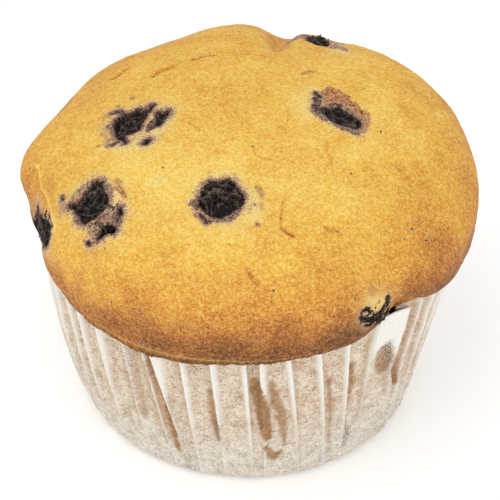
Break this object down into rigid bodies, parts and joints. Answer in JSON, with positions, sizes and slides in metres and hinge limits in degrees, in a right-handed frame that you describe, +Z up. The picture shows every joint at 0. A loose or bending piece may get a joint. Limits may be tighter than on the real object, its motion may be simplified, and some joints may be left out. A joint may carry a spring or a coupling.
{
  "type": "blueberry muffin",
  "caption": "Domed blueberry muffin in its own pleated paper case, with berries set in the browned crown.",
  "frame": {"origin": "middle of the flat underside of the paper case, on the surface it stands on", "axes": "+Z up along the axis of the case; -Y is the front, where the crown's lip hangs lowest"},
  "size_m": [0.0686, 0.0674, 0.0515],
  "materials": {
    "crust": "matt golden baked crust, pale yellow at the middle of the dome, browner towards the lip",
    "paper": "thin white baking paper, matt, speckled and stained by grease",
    "berry": "shrunken dark berry skin with a faint sheen"
  },
  "bodies": {
    "root": {"crumb": "crust", "paper_case": "paper", "berry_centre": "berry", "berry_left": "berry", "berry_upper_left": "berry", "berry_right": "berry", "berry_back": "berry", "berry_side": "berry", "berry_rim": "berry"}
  },
  "joints": []
}
